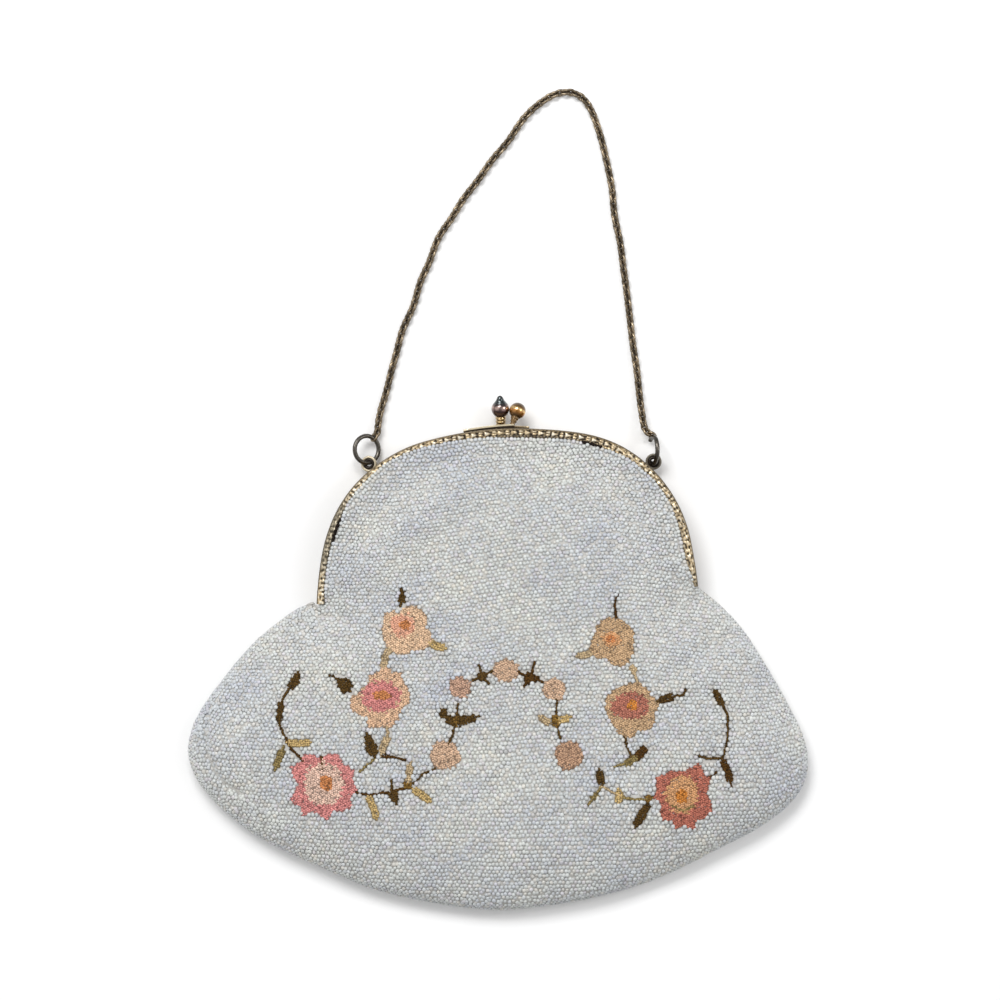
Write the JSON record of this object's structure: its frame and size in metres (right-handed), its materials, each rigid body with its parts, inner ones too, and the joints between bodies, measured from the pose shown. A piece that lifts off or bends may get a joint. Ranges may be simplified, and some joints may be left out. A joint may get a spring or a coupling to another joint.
{
  "type": "beaded clutch",
  "caption": "Small evening clutch lying on its back: hollow beaded cloth pouch, arched metal frame with kiss-lock clasp, and a fine chain handle on two jump rings.",
  "frame": {"origin": "point on the flat underside of the back panel, below the middle of the pouch's wider part", "axes": "+Z out of the front panel, +Y from the bottom of the pouch to the handle, +X to the right of someone facing the front panel"},
  "size_m": [0.2007, 0.2648, 0.0172],
  "materials": {
    "beaded_cloth_front": "white-grey glass seed beads on cloth",
    "beaded_cloth_back": "white-grey glass seed beads on cloth",
    "frame_gilt": "embossed antique gilt",
    "rivet_brass": "dull brass",
    "clasp_gilt": "worn gilt",
    "clasp_copper": "coppery brown with a dark tip",
    "ring_metal": "dark tarnished metal",
    "chain_metal": "dark antique brass"
  },
  "bodies": {
    "root": {"front_panel": "beaded_cloth_front", "back_panel": "beaded_cloth_back", "frame_front": "frame_gilt", "frame_back": "frame_gilt", "hinge_pin_left": "rivet_brass", "hinge_pin_right": "rivet_brass", "clasp_front": "clasp_gilt", "clasp_back": "clasp_copper", "ring_left": "ring_metal", "ring_right": "ring_metal", "chain": "chain_metal"}
  },
  "joints": []
}
